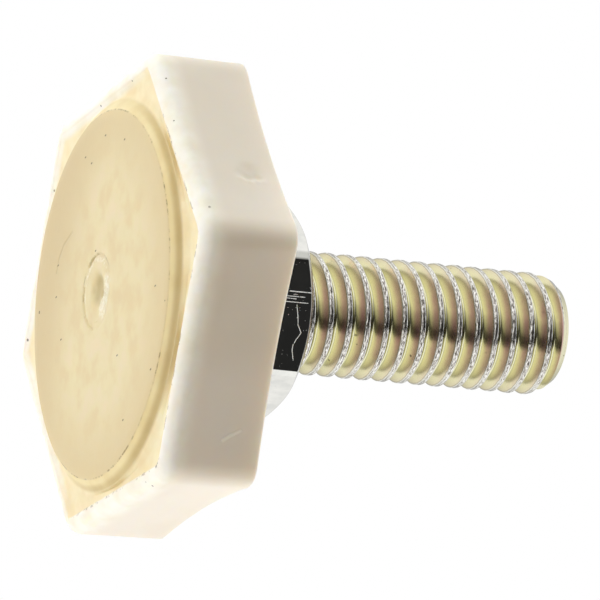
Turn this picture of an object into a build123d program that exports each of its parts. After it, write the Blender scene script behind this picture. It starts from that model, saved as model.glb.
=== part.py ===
from build123d import *
import math
import os

# Adjustable foot of a washing machine, in millimetres.
# A hexagonal plastic pad is moulded round the head of a bolt, and a lock nut sits on the thread.
# The foot stands on its floor disc: the floor is Z = 0 and the bolt points up along +Z.

# Bolt: M8 thread, measured outside the rolled crests, on a neck that is thinner all round by neck_step
thread_diameter = 7.8
neck_step = 0.35
bolt_length = 25.0
end_chamfer = 0.65
head_across_flats = 13.0
head_height = 4.0

# Lock nut: thin, for the same thread and the head's spanner, but smaller by nut_undersize across its flats
nut_undersize = 0.2
nut_across_flats = head_across_flats - nut_undersize
nut_height = 5.0
nut_turn = -11.8
nut_clearance = 0.05
nut_countersink = 0.3

# Head and nut: a cone turns their corners off, down to a round face that stays inside the flats
corner_chamfer_angle = 30.0
face_margin = 0.55

# The full thread begins this far above the seated nut
thread_lead = 0.2

# Pad: hexagon whose sides are almost straight at the rim and sunken towards the back
pad_across_flats = 27.1
rim_sink = 0.05
back_sink = 0.35
corner_radius = 1.3
back_chamfer = 0.2

# Plastic between the bolt's head and the pad's back, and between the head and the gate mark
lip_thickness = 1.3
gate_web = 0.85

# Underside: a rounded rim, a shallow recess inside it and the raised disc that meets the floor
rim_rounding = 0.9
rim_crest = 0.3
recess_depth = 0.25
recess_draft = 30.0
disc_rise = 0.4
disc_gap = 0.5
disc_flare = 0.4
disc_foot_chamfer = 0.2
disc_edge_chamfer = 0.15

# Moulding gate in the middle of the disc: a dish with the broken stub at its bottom
stub_diameter = 1.9
stub_taper = 0.2
stub_height = 0.3
stub_sink = 0.35
gate_moat = 0.35
gate_wall = 1.0

# Levels above the floor
gate_depth = stub_sink + stub_height
recess_level = disc_rise + recess_depth
head_bottom = gate_depth + gate_web
head_top = head_bottom + head_height
pad_height = head_top + lip_thickness
nut_top = pad_height + nut_height
thread_start = nut_top + thread_lead
bolt_end = head_top + bolt_length

# Distances from the bolt's axis
thread_reach = thread_diameter / 2
neck_reach = thread_reach - neck_step
bore_reach = thread_reach + nut_clearance
flat_reach = pad_across_flats / 2
rim_width = rim_rounding + rim_crest
disc_foot_reach = flat_reach - rim_sink - rim_width - disc_gap
disc_reach = disc_foot_reach - disc_flare
stub_reach = stub_diameter / 2
gate_floor_reach = stub_reach + gate_moat
gate_reach = gate_floor_reach + gate_wall

HEX_SIDES = 6
SIDE_ANGLE = 360 / HEX_SIDES


def corner_of(reach):
    """Distance from the axis to the corner of a hexagon whose flats lie at reach."""
    return reach / math.cos(math.radians(SIDE_ANGLE / 2))


def polar(reach, angle):
    """Point in plan at a distance and a direction from the bolt's axis."""
    return (reach * math.cos(math.radians(angle)), reach * math.sin(math.radians(angle)))


def sunk_hexagon(sink, inset):
    """Plan of the pad, drawn in by inset: sides that bow inwards by sink, and round corners."""
    with BuildSketch() as plan:
        with BuildLine():
            for side in range(HEX_SIDES):
                start = side * SIDE_ANGLE
                ThreePointArc(
                    polar(corner_of(flat_reach), start),
                    polar(flat_reach - sink, start + SIDE_ANGLE / 2),
                    polar(corner_of(flat_reach), start + SIDE_ANGLE),
                )
        make_face()
        fillet(plan.vertices(), radius=corner_radius)
        if inset > 0:
            offset(amount=-inset, mode=Mode.REPLACE)
    return plan.sketch


def chamfered_hexagon(across_flats, bottom, height, turn, both_faces):
    """Hexagon bar whose corners are turned off towards its lower face, or towards both faces."""
    corner_reach = corner_of(across_flats / 2)
    face_reach = across_flats / 2 - face_margin
    drop = (corner_reach - face_reach) * math.tan(math.radians(corner_chamfer_angle))
    top = bottom + height
    turned = [(0, bottom), (face_reach, bottom), (corner_reach, bottom + drop)]
    if both_faces:
        turned += [(corner_reach, top - drop), (face_reach, top)]
    else:
        turned += [(corner_reach, top)]
    with BuildPart() as bar:
        with BuildSketch(Plane.XY.offset(bottom)):
            RegularPolygon(radius=across_flats / 2, side_count=HEX_SIDES, major_radius=False, rotation=turn)
        extrude(amount=height)
        with BuildSketch(Plane.XZ):
            with BuildLine():
                Polyline(*turned, (0, top), close=True)
            make_face()
        revolve(axis=Axis.Z, mode=Mode.INTERSECT)
    return bar.part


# Bolt: hexagon head, plain neck in the pad, thread run-out under the nut, full thread and chamfered end
with BuildPart() as bolt:
    add(chamfered_hexagon(head_across_flats, head_bottom, head_height, turn=0, both_faces=False))
    with BuildSketch(Plane.XZ):
        with BuildLine():
            Polyline(
                (0, head_top),
                (neck_reach, head_top),
                (neck_reach, pad_height),
                (thread_reach, thread_start),
                (thread_reach, bolt_end - end_chamfer),
                (thread_reach - end_chamfer, bolt_end),
                (0, bolt_end),
                close=True,
            )
        make_face()
    revolve(axis=Axis.Z)
bolt.part.label = "bolt"


# Pad: the moulded hexagon, its floor disc, the gate mark and the pocket that the bolt fills
with BuildPart() as foot_pad:
    with BuildSketch(Plane.XY.offset(disc_rise)):
        add(sunk_hexagon(rim_sink, inset=0))
    with BuildSketch(Plane.XY.offset(pad_height)):
        add(sunk_hexagon(back_sink, inset=0))
    loft(ruled=True)
    fillet(foot_pad.faces().sort_by(Axis.Z)[0].edges(), radius=rim_rounding)
    chamfer(foot_pad.faces().sort_by(Axis.Z)[-1].edges(), length=back_chamfer)

    with BuildSketch(Plane.XY.offset(disc_rise)):
        add(sunk_hexagon(rim_sink, inset=rim_width))
    extrude(amount=recess_depth, taper=recess_draft, mode=Mode.SUBTRACT)

    with BuildSketch(Plane.XZ) as disc_profile:
        with BuildLine():
            Polyline((0, 0), (disc_reach, 0), (disc_foot_reach, recess_level), (0, recess_level), close=True)
        make_face()
        disc_edge = disc_profile.vertices().group_by(Axis.Y)[0].sort_by(Axis.X)[-1]
        chamfer(disc_edge, length=disc_edge_chamfer)
    revolve(axis=Axis.Z)
    disc_foot = foot_pad.edges().filter_by(GeomType.CIRCLE).filter_by(
        lambda edge: math.isclose(edge.radius, disc_foot_reach, abs_tol=1e-6)
    )
    chamfer(disc_foot, length=disc_foot_chamfer)

    with BuildSketch(Plane.XZ):
        with BuildLine():
            Polyline(
                (0, 0),
                (gate_reach, 0),
                (gate_floor_reach, gate_depth),
                (stub_reach, gate_depth),
                (stub_reach - stub_taper, stub_sink),
                (0, stub_sink),
                close=True,
            )
        make_face()
    revolve(axis=Axis.Z, mode=Mode.SUBTRACT)

    add(bolt.part, mode=Mode.SUBTRACT)
foot_pad.part.label = "foot_pad"


# Lock nut: chamfered on both faces, bored to pass the thread, and countersunk at both ends of the bore
with BuildPart() as lock_nut:
    add(chamfered_hexagon(nut_across_flats, pad_height, nut_height, turn=nut_turn, both_faces=True))
    with BuildSketch(Plane.XZ):
        with BuildLine():
            Polyline(
                (0, pad_height),
                (bore_reach + nut_countersink, pad_height),
                (bore_reach, pad_height + nut_countersink),
                (bore_reach, nut_top - nut_countersink),
                (bore_reach + nut_countersink, nut_top),
                (0, nut_top),
                close=True,
            )
        make_face()
    revolve(axis=Axis.Z, mode=Mode.SUBTRACT)
lock_nut.part.label = "lock_nut"


os.makedirs("parts", exist_ok=True)
export_step(foot_pad.part, "parts/foot_pad.step")
export_step(bolt.part, "parts/bolt.step")
export_step(lock_nut.part, "parts/lock_nut.step")

print("pad height", round(pad_height, 3), "nut top", round(nut_top, 3), "bolt end", round(bolt_end, 3))
print("full thread from", round(thread_start, 3), "to", round(bolt_end - end_chamfer, 3))
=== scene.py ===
# %% [markdown]
# # Foot of a washing machine
# The foot is a moulded hexagonal pad round the head of a zinc-plated bolt, with a lock nut on the thread.
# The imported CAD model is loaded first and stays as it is. It gives the place and the size of everything
# here. Each real part is then modelled again with the detail that the eye expects, in metres and in the
# same frame: the floor is Z = 0 and the bolt points up.

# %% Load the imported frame
import bmesh
import bpy
import math
from mathutils import Matrix, Vector


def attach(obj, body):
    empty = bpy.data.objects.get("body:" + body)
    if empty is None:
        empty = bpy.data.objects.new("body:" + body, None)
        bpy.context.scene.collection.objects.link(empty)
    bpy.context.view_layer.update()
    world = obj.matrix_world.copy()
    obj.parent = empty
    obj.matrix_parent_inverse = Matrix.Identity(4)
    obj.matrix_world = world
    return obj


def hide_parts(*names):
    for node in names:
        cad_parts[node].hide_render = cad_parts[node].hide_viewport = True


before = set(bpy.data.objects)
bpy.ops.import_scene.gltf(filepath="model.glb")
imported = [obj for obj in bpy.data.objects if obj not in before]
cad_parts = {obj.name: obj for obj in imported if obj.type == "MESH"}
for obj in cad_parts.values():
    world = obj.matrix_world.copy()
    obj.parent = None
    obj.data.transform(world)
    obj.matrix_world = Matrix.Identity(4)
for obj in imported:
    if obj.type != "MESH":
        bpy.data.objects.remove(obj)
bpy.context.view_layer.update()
MM = 0.001

# %% [markdown]
# ## Working as by hand
# Operators act on whatever is selected, so each step starts by dropping every selection. These helpers
# open one piece in edit mode, and pick its vertices, edges or faces by their place. A mesh could also be
# written as lists of numbers, but the steps of the hand tools show how the piece came about.


# %% Helpers for opening a piece
def close_piece():
    """Go back to object mode if a piece is open."""
    if bpy.context.mode != "OBJECT":
        bpy.ops.object.mode_set(mode="OBJECT")


def select_nothing():
    """Close any open piece and drop every selection."""
    close_piece()
    bpy.ops.object.select_all(action="DESELECT")


def select_only(piece):
    """Make this piece the only selected one and the active one."""
    select_nothing()
    piece.select_set(True)
    bpy.context.view_layer.objects.active = piece


def open_piece(piece):
    """Go into the edit mode of this piece alone."""
    select_only(piece)
    bpy.ops.object.mode_set(mode="EDIT")
    bpy.ops.mesh.select_mode(type="VERT")


# %% Helpers for picking
def pick(kind, test):
    """On the open piece, select the vertices, edges or faces that pass the test, and count them."""
    bpy.ops.mesh.select_mode(type={"verts": "VERT", "edges": "EDGE", "faces": "FACE"}[kind])
    bpy.ops.mesh.select_all(action="DESELECT")
    piece = bpy.context.edit_object
    mesh = bmesh.from_edit_mesh(piece.data)
    chosen = [item for item in getattr(mesh, kind) if not item.hide and test(item)]
    for item in chosen:
        item.select_set(True)
    mesh.select_flush_mode()
    bmesh.update_edit_mesh(piece.data)
    return len(chosen)


def at_level(edge, level):
    """True if both ends of an edge lie at this level, given in millimetres."""
    return all(abs(v.co.z / MM - level) < 0.005 for v in edge.verts)


def rises(edge, height):
    """True if the ends of an edge are further apart in height than this, in millimetres."""
    return abs(edge.verts[0].co.z - edge.verts[1].co.z) > height * MM


# %% Helpers for an open piece
def tidy_mesh():
    """On the open piece, merge doubles and turn every face outwards."""
    bpy.ops.mesh.select_all(action="SELECT")
    bpy.ops.mesh.remove_doubles(threshold=0.002 * MM)
    bpy.ops.mesh.normals_make_consistent(inside=False)


def push_picked(move, size, falloff="SMOOTH"):
    """Move what is picked on the open piece, and what lies within size of it less and less."""
    bpy.ops.transform.translate(
        value=Vector(move) * MM, use_proportional_edit=True,
        proportional_edit_falloff=falloff, proportional_size=size * MM)


# %% Helpers for whole pieces
def apply_modifiers(piece):
    """Apply every modifier of a piece, in order."""
    select_only(piece)
    for modifier in list(piece.modifiers):
        bpy.ops.object.modifier_apply(modifier=modifier.name)


def combine(piece, tool, operation):
    """Cut, join or keep the overlap of a piece and a tool, and delete the tool."""
    modifier = piece.modifiers.new(operation.lower(), "BOOLEAN")
    modifier.operation = operation
    modifier.solver = "EXACT"
    modifier.object = tool
    apply_modifiers(piece)
    bpy.data.objects.remove(tool)


def smooth(piece, degrees):
    """Shade smooth where faces meet at less than this angle."""
    select_only(piece)
    bpy.ops.object.shade_smooth_by_angle(angle=math.radians(degrees))


def roughen(piece, group, name, grain_mm, grain_depth, depth_mm, mid_level, direction="NORMAL"):
    """Displace a vertex group of a piece by cloudy noise."""
    clouds = bpy.data.textures.new(name, "CLOUDS")
    clouds.noise_scale = grain_mm * MM
    clouds.noise_depth = grain_depth
    modifier = piece.modifiers.new(name, "DISPLACE")
    modifier.texture = clouds
    modifier.texture_coords = "LOCAL"
    modifier.vertex_group = group
    modifier.direction = direction
    modifier.strength = depth_mm * MM
    modifier.mid_level = mid_level
    apply_modifiers(piece)


def place_in_mesh(piece):
    """Move the object's place, turn and scale into its mesh."""
    select_only(piece)
    bpy.ops.object.transform_apply(location=True, rotation=True, scale=True)


# %% Helpers for turned shapes
def draw_profile(name, points):
    """A chain of edges through (radius, level) points, drawn in the XZ plane by extruding one vertex."""
    select_nothing()
    bpy.ops.mesh.primitive_plane_add(size=MM)
    piece = bpy.context.object
    piece.name = name
    open_piece(piece)
    bpy.ops.mesh.select_all(action="SELECT")
    bpy.ops.mesh.merge(type="CENTER")
    start = points[0]
    bpy.ops.transform.translate(value=(start[0] * MM, 0, start[1] * MM))
    for before, after in zip(points, points[1:]):
        step = ((after[0] - before[0]) * MM, 0, (after[1] - before[1]) * MM)
        bpy.ops.mesh.extrude_vertices_move(TRANSFORM_OT_translate={"value": step})
    return piece


def turn(name, points, steps):
    """Turn a profile once round the bolt's axis, as on a lathe."""
    piece = draw_profile(name, points)
    bpy.ops.mesh.select_all(action="SELECT")
    bpy.ops.mesh.spin(steps=steps, angle=math.tau, center=(0, 0, 0), axis=(0, 0, 1))
    tidy_mesh()
    close_piece()
    return piece


# %% [markdown]
# ## Camera
# The photograph was taken from in front of the pad's underside, with the bolt lying to the right. In this
# frame the foot stands, so the camera looks up from below the floor and is rolled on its side. Its place
# comes from fitting the hexagon, the nut and the thread to the picture.


# %% Camera at the photograph's angle
def direction_to(azimuth, elevation=0.0):
    """The unit vector towards an azimuth and an elevation, given in degrees."""
    a = math.radians(azimuth)
    e = math.radians(elevation)
    return Vector((math.cos(a) * math.cos(e), math.sin(a) * math.cos(e), math.sin(e)))


CAMERA_TARGET = Vector((-1.750, -4.186, 11.462)) * MM
CAMERA_DISTANCE = 337.0 * MM
CAMERA_AZIMUTH = 257.181
CAMERA_ELEVATION = -22.756
CAMERA_ROLL = 95.285
CAMERA_LENS = 328.49
CAMERA_SENSOR = 36.0

outward = direction_to(CAMERA_AZIMUTH, CAMERA_ELEVATION)
select_nothing()
bpy.ops.object.camera_add(location=CAMERA_TARGET + outward * CAMERA_DISTANCE)
camera = bpy.context.object
camera.name = "camera"
level_turn = (-outward).to_track_quat("-Z", "Y").to_matrix()
camera.rotation_euler = (level_turn @ Matrix.Rotation(math.radians(CAMERA_ROLL), 3, "Z")).to_euler()
camera.data.lens = CAMERA_LENS
camera.data.sensor_width = CAMERA_SENSOR
camera.data.clip_start = 0.01
bpy.context.scene.camera = camera
bpy.context.scene.view_settings.view_transform = "Standard"
print("camera at", [round(x / MM, 1) for x in camera.location], "mm")

# %% [markdown]
# ## Nodes in few words
# A finish is a tree of nodes. These helpers add one node each, and take a number, a colour or another
# node's output for every input, so that a finish reads from top to bottom.


# %% Helpers for values
def feed(tree, socket, value):
    """Link a node's output to an input, or set the input to a plain value."""
    if isinstance(value, bpy.types.NodeSocket):
        tree.links.new(value, socket)
    else:
        socket.default_value = value


def calculate(tree, operation, first, second=None, third=None, clamp=False):
    """One sum, product or other calculation on values."""
    node = tree.nodes.new("ShaderNodeMath")
    node.operation = operation
    node.use_clamp = clamp
    for socket, value in zip(node.inputs, (first, second, third)):
        if value is not None:
            feed(tree, socket, value)
    return node.outputs[0]


def times(tree, first, second):
    """The product of two values: two masks hold only where both do."""
    return calculate(tree, "MULTIPLY", first, second)


def off_from(tree, value, centre):
    """How far a value lies from a centre, on either side."""
    return calculate(tree, "ABSOLUTE", calculate(tree, "SUBTRACT", value, centre))


def fade(tree, value, low, high):
    """0 where the value is at low, 1 where it is at high, and a soft step between."""
    node = tree.nodes.new("ShaderNodeMapRange")
    node.interpolation_type = "SMOOTHSTEP"
    feed(tree, node.inputs["Value"], value)
    node.inputs["From Min"].default_value = low
    node.inputs["From Max"].default_value = high
    return node.outputs["Result"]


# %% Helpers for patterns
def noise(tree, place, scale, detail=3.0, roughness=0.5):
    """Cloudy noise from 0 to 1; the scale counts its patches in a millimetre."""
    node = tree.nodes.new("ShaderNodeTexNoise")
    feed(tree, node.inputs["Vector"], place)
    node.inputs["Scale"].default_value = scale
    node.inputs["Detail"].default_value = detail
    node.inputs["Roughness"].default_value = roughness
    return node.outputs["Fac"]


def blend(tree, factor, first, second):
    """Mix two colours."""
    node = tree.nodes.new("ShaderNodeMix")
    node.data_type = "RGBA"
    feed(tree, node.inputs[0], factor)
    feed(tree, node.inputs[6], first)
    feed(tree, node.inputs[7], second)
    return node.outputs[2]


def ramp(tree, value, stops):
    """Colours along a value, as (position, colour) stops."""
    node = tree.nodes.new("ShaderNodeValToRGB")
    feed(tree, node.inputs["Fac"], value)
    elements = node.color_ramp.elements
    while len(elements) < len(stops):
        elements.new(0.5)
    for element, (position, colour) in zip(elements, stops):
        element.position = position
        element.color = colour
    return node.outputs["Color"]


def shift(tree, place, move=(0, 0, 0), turn_by=(0, 0, 0), scale=(1, 1, 1)):
    """Move, turn and stretch a pattern."""
    node = tree.nodes.new("ShaderNodeMapping")
    feed(tree, node.inputs["Vector"], place)
    node.inputs["Location"].default_value = move
    node.inputs["Rotation"].default_value = [math.radians(a) for a in turn_by]
    node.inputs["Scale"].default_value = scale
    return node.outputs["Vector"]


# %% Helpers for finishes
def tone(text):
    """A colour as it looks on a screen, such as E8DAB0, made linear for a shader."""
    values = [int(text[i:i + 2], 16) / 255 for i in (0, 2, 4)]
    linear = [v / 12.92 if v <= 0.04045 else ((v + 0.055) / 1.055) ** 2.4 for v in values]
    return (*linear, 1.0)


def new_finish(name):
    """A material's tree, its shader and the place on the piece in millimetres."""
    finish = bpy.data.materials.new(name)
    finish.use_nodes = True
    tree = finish.node_tree
    shader = tree.nodes["Principled BSDF"]
    coordinates = tree.nodes.new("ShaderNodeTexCoord")
    millimetres = shift(tree, coordinates.outputs["Object"], scale=(1 / MM, 1 / MM, 1 / MM))
    return finish, tree, shader, millimetres


def bump(tree, shader, height, depth_mm):
    """Let a height between 0 and 1 press or raise the surface by this depth."""
    node = tree.nodes.new("ShaderNodeBump")
    node.inputs["Distance"].default_value = depth_mm * MM
    node.inputs["Strength"].default_value = 1.0
    feed(tree, node.inputs["Height"], height)
    tree.links.new(node.outputs["Normal"], shader.inputs["Normal"])


# %% [markdown]
# ## Light
# Small shiny parts are photographed in a white tent: bright panels on both sides of the camera, and a
# dark gap between them where the camera stands. The gap is what draws the black band along the thread and
# blackens the nut's nearest flat. A tent of bright planes would light everything at once, but plastic and
# metal need different things from it. So the panels are lamps that only the plastic shows, the tent that
# metal mirrors is the white world, and the gap is a card that only reflections see.

# %% World
TENT_TINT = (1.0, 0.85, 0.68, 1)
TENT_STRENGTH = 0.25
world = bpy.data.worlds.new("tent")
bpy.context.scene.world = world
world.use_nodes = True
sky = world.node_tree
sky.nodes.clear()
seen = sky.nodes.new("ShaderNodeBackground")
seen.inputs["Color"].default_value = (1, 1, 1, 1)
seen.inputs["Strength"].default_value = 1.0
ambient = sky.nodes.new("ShaderNodeBackground")
ambient.inputs["Color"].default_value = TENT_TINT
ambient.inputs["Strength"].default_value = TENT_STRENGTH
rays = sky.nodes.new("ShaderNodeLightPath")
shown = calculate(sky, "MAXIMUM", rays.outputs["Is Camera Ray"], rays.outputs["Is Glossy Ray"])
shown = calculate(sky, "MAXIMUM", shown, rays.outputs["Is Transmission Ray"])
either = sky.nodes.new("ShaderNodeMixShader")
sky.links.new(shown, either.inputs["Fac"])
sky.links.new(ambient.outputs[0], either.inputs[1])
sky.links.new(seen.outputs[0], either.inputs[2])
sky.links.new(either.outputs[0], sky.nodes.new("ShaderNodeOutputWorld").inputs["Surface"])
print("tent strength", TENT_STRENGTH)

# %% [markdown]
# The panels are given by where they stand as seen from the foot, and by how bright their surface is. A
# lamp's energy follows from that and its size, so that a panel keeps its brightness when it is made
# larger.


# %% Panels of light
PANEL_AIM = Vector((0, 0, 12 * MM))
WHITE = (1, 1, 1)
COOL = (0.91, 0.96, 1.0)


def add_panel(name, azimuth, elevation, distance_mm, size_mm, brightness, colour):
    """A square panel of soft light that faces the middle of the foot."""
    away = direction_to(azimuth, elevation)
    select_nothing()
    bpy.ops.object.light_add(type="AREA", location=PANEL_AIM + away * distance_mm * MM)
    panel = bpy.context.object
    panel.name = name
    panel.rotation_euler = away.to_track_quat("Z", "Y").to_euler()
    panel.data.shape = "SQUARE"
    panel.data.size = size_mm * MM
    panel.data.energy = brightness * math.pi * (size_mm * MM) ** 2
    panel.data.color = colour
    panel.visible_camera = False
    panel.visible_glossy = False


add_panel("panel_upper", 172, 2, 400, 420, 2.5, COOL)
add_panel("panel_lower", 353, 4, 400, 420, 2.8, WHITE)
add_panel("panel_under", 88, -48, 400, 360, 1.35, WHITE)
add_panel("panel_front", 257, -80, 400, 300, 2.95, WHITE)
add_panel("panel_left", 95, -6, 400, 300, 1.6, WHITE)
add_panel("panel_rear", 77, 35, 450, 420, 0.45, WHITE)
add_panel("panel_over", 77, 84, 450, 300, 5.0, WHITE)

# %% [markdown]
# The card stands behind the camera, as seen from the foot. Across its width it fades from white to grey,
# is black for a stretch and then turns white at once, so the dark band on the metal has one soft and one
# hard border. CARD_LEAN slants the fade over the card's height.


# %% Card in the gap
def grey(value):
    """A grey of this brightness."""
    return (value, value, value, 1)


CARD_AZIMUTH = 258.2
CARD_DISTANCE = 420
CARD_WIDTH = 900
CARD_HEIGHT = 1200
CARD_LEAN = 0.376
GAP_LEVEL = 188
card_way = direction_to(CARD_AZIMUTH)
select_nothing()
bpy.ops.mesh.primitive_grid_add(x_subdivisions=2, y_subdivisions=2, size=1)
card = bpy.context.object
card.name = "gap_card"
card.scale = (CARD_WIDTH * MM, CARD_HEIGHT * MM, 1)
card.location = card_way * CARD_DISTANCE * MM
card.rotation_euler = card_way.to_track_quat("Z", "Y").to_euler()
place_in_mesh(card)
card.visible_camera = False
card.visible_diffuse = False
card.visible_shadow = False
card.visible_transmission = False
card_finish, tree, shader, place = new_finish("gap_cloth")
across = shift(tree, place, turn_by=(0, 0, -(CARD_AZIMUTH + 90)))
parts = tree.nodes.new("ShaderNodeSeparateXYZ")
tree.links.new(across, parts.inputs[0])
lean = calculate(tree, "MULTIPLY_ADD", parts.outputs["Z"], -CARD_LEAN, CARD_LEAN * GAP_LEVEL)
along = calculate(tree, "ADD", parts.outputs["X"], lean)
along = calculate(tree, "MULTIPLY_ADD", along, 1 / CARD_WIDTH, 0.5, clamp=True)
shade = ramp(tree, along, [
    (0.06, grey(1.0)), (0.20, grey(0.70)), (0.36, grey(0.44)), (0.450, grey(0.26)),
    (0.482, grey(0.02)), (0.735, grey(0.02)), (0.770, grey(1.0))])
glow = tree.nodes.new("ShaderNodeEmission")
tree.links.new(shade, glow.inputs["Color"])
tree.links.new(glow.outputs[0], tree.nodes["Material Output"].inputs["Surface"])
tree.nodes.remove(shader)
card.data.materials.append(card_finish)
print("card", [round(v, 2) for v in card.dimensions], "m")

# %% [markdown]
# ## Floor
# The foot stands on a pale floor, which keeps its shadow. The camera of the photograph looks from below
# it, so the floor's lower side lets everything through, and it neither shades nor reflects in the foot.
# Leaving the floor out would do for that one picture, but then the foot would float in every other view.

# %% Floor
FLOOR_SIZE = 2000
FLOOR_DROP = 0.01
select_nothing()
bpy.ops.mesh.primitive_grid_add(
    x_subdivisions=8, y_subdivisions=8, size=FLOOR_SIZE * MM, location=(0, 0, -FLOOR_DROP * MM))
floor = bpy.context.object
floor.name = "floor"
place_in_mesh(floor)
floor.visible_diffuse = False
floor.visible_glossy = False
floor.visible_transmission = False
floor.visible_shadow = False
floor_finish, tree, shader, place = new_finish("pale_floor")
feed(tree, shader.inputs["Base Color"], ramp(
    tree, noise(tree, place, 0.02), [(0.3, tone("F4F3F0")), (0.7, tone("F8F7F5"))]))
shader.inputs["Roughness"].default_value = 0.8
geometry = tree.nodes.new("ShaderNodeNewGeometry")
clear = tree.nodes.new("ShaderNodeBsdfTransparent")
one_way = tree.nodes.new("ShaderNodeMixShader")
tree.links.new(geometry.outputs["Backfacing"], one_way.inputs["Fac"])
tree.links.new(shader.outputs[0], one_way.inputs[1])
tree.links.new(clear.outputs[0], one_way.inputs[2])
tree.links.new(one_way.outputs[0], tree.nodes["Material Output"].inputs["Surface"])
floor.data.materials.append(floor_finish)
print("floor", round(floor.dimensions.x, 2), "m wide")

# %% [markdown]
# ## Pad
# The pad is an injection-moulded hexagon. Its sides sink a little towards the back, because thick plastic
# shrinks as it cools, and its underside has a rounded rim, a shallow recess and a raised round disc. It
# could be revolved, but it is a hexagon; so its outline is a six-sided circle whose corners are bevelled,
# and the walls are extruded from it. Only the disc is turned, and is bridged to the outline.

# %% Outline of the pad
HEX_SIDES = 6
FLAT_TO_CORNER = 30
FLAT_REACH = 13.53
CORNER_REACH = FLAT_REACH / math.cos(math.radians(FLAT_TO_CORNER))
CORNER_RADIUS = 2.0
CORNER_STEPS = 8
SIDE_CUTS = 47
RIM_LEVEL = 0.4

select_nothing()
bpy.ops.mesh.primitive_circle_add(
    vertices=HEX_SIDES, radius=CORNER_REACH * MM, fill_type="NGON",
    location=(0, 0, RIM_LEVEL * MM), rotation=(0, 0, math.radians(FLAT_TO_CORNER)))
pad = bpy.context.object
pad.name = "moulded_pad"
place_in_mesh(pad)
open_piece(pad)
bpy.ops.mesh.select_all(action="SELECT")
bpy.ops.mesh.bevel(
    offset=CORNER_RADIUS * math.tan(math.radians(FLAT_TO_CORNER)) * MM,
    segments=CORNER_STEPS, affect="VERTICES")
long_sides = pick("edges", lambda edge: edge.calc_length() > 5 * MM)
bpy.ops.mesh.subdivide(number_cuts=SIDE_CUTS)
print("outline:", long_sides, "sides,", len(bmesh.from_edit_mesh(pad.data).verts), "points")

# %% [markdown]
# The plastic sinks most in the middle of each side, and more at the back than at the rim. The outline
# could be drawn with arcs, but pressing in the middle of a straight side shows better what happened:
# proportional editing takes its neighbours along, less and less towards the corners. The back is pressed
# while the rim is hidden.

# %% Sunken sides
RIM_SINK = 0.05
BACK_SINK = 0.5
PAD_TOP = 6.8


def side_way(side):
    """The direction in which a side of the pad faces."""
    return direction_to(FLAT_TO_CORNER * (2 * side + 1))


def sink_sides(level, depth):
    """Press the middle of each side inwards, less and less towards the corners."""
    for side in range(HEX_SIDES):
        way = side_way(side)
        pick("verts", lambda v: abs(v.co.z / MM - level) < 0.01
             and v.co.dot(way) > 0 and abs(v.co.cross(way).z) < 0.02 * MM)
        push_picked(-way * depth, CORNER_REACH / 2, "INVERSE_SQUARE")


sink_sides(RIM_LEVEL, RIM_SINK)
bpy.ops.mesh.select_all(action="SELECT")
bpy.ops.mesh.extrude_region_move(TRANSFORM_OT_translate={"value": (0, 0, (PAD_TOP - RIM_LEVEL) * MM)})
pick("verts", lambda v: v.co.z > RIM_LEVEL * 2 * MM)
bpy.ops.mesh.hide(unselected=True)
sink_sides(PAD_TOP, BACK_SINK - RIM_SINK)
bpy.ops.mesh.reveal(select=False)
tidy_mesh()
close_piece()
print("pad wall", [round(x / MM, 2) for x in pad.dimensions])

# %% [markdown]
# The rim is rounded widely, and the back edge hardly at all. The wall then gets enough rows for the marks
# that moulding and use have left in it.

# %% Rim, back edge and rows
RIM_ROUNDING = 0.85
BACK_ROUNDING = 0.2
WALL_ROWS = 18

open_piece(pad)
pick("edges", lambda edge: at_level(edge, RIM_LEVEL))
bpy.ops.mesh.bevel(offset=RIM_ROUNDING * MM, segments=7, affect="EDGES")
pick("edges", lambda edge: at_level(edge, PAD_TOP))
bpy.ops.mesh.bevel(offset=BACK_ROUNDING * MM, segments=3, affect="EDGES")
upright = pick("edges", lambda edge: rises(edge, PAD_TOP / 2))
bpy.ops.mesh.subdivide(number_cuts=WALL_ROWS - 1)
print("upright edges", upright)

# %% [markdown]
# Inside the rim lies a shallow recess, so that only the disc stands on the floor. A boolean could cut it
# out, but an inset keeps the ring of points that the disc is bridged to. It leaves the rim's crest, and
# the face inside is then pushed in and made smaller, because a mould needs sloping walls to let the part
# go.


# %% Recess
def fills_outline(face, way):
    """True for the face across the whole pad that looks up (1) or down (-1)."""
    return len(face.verts) > HEX_SIDES * SIDE_CUTS and face.normal.z * way > 0.9


RIM_CREST = 0.08
RECESS_DEPTH = 0.16
RECESS_DRAFT = 62
BACK_INSET = 0.3
RIM_TOP = RIM_LEVEL + RIM_ROUNDING + 0.05

pick("faces", lambda face: fills_outline(face, -1))
bpy.ops.mesh.inset(thickness=RIM_CREST * MM)
recess_reach = FLAT_REACH - RIM_SINK - RIM_ROUNDING - RIM_CREST
shrink = 1 - RECESS_DEPTH * math.tan(math.radians(RECESS_DRAFT)) / recess_reach
bpy.ops.mesh.extrude_region_move(TRANSFORM_OT_translate={"value": (0, 0, RECESS_DEPTH * MM)})
bpy.ops.transform.resize(value=(shrink, shrink, 1), center_override=(0, 0, 0))
bpy.ops.mesh.delete(type="ONLY_FACE")
pick("faces", lambda face: fills_outline(face, 1))
bpy.ops.mesh.inset(thickness=BACK_INSET * MM)
close_piece()
rim_points = [v.index for v in pad.data.vertices if v.co.z < RIM_TOP * MM]
pad.vertex_groups.new(name="rim").add(rim_points, 1.0, "REPLACE")
print("pad so far", len(pad.data.polygons), "faces,", len(rim_points), "points in the rim")

# %% [markdown]
# The disc is what stands on the floor. It is round, so its face and its flared edge are a profile that is
# turned about the axis, with as many steps as the outline has points. Two loops of equal count then
# bridge without a twist.

# %% Disc
DISC_REACH = 11.4
RECESS_LEVEL = RIM_LEVEL + RECESS_DEPTH
GATE_EDGE = 1.9
RING_STEPS = HEX_SIDES * (SIDE_CUTS + 1 + CORNER_STEPS)

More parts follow.
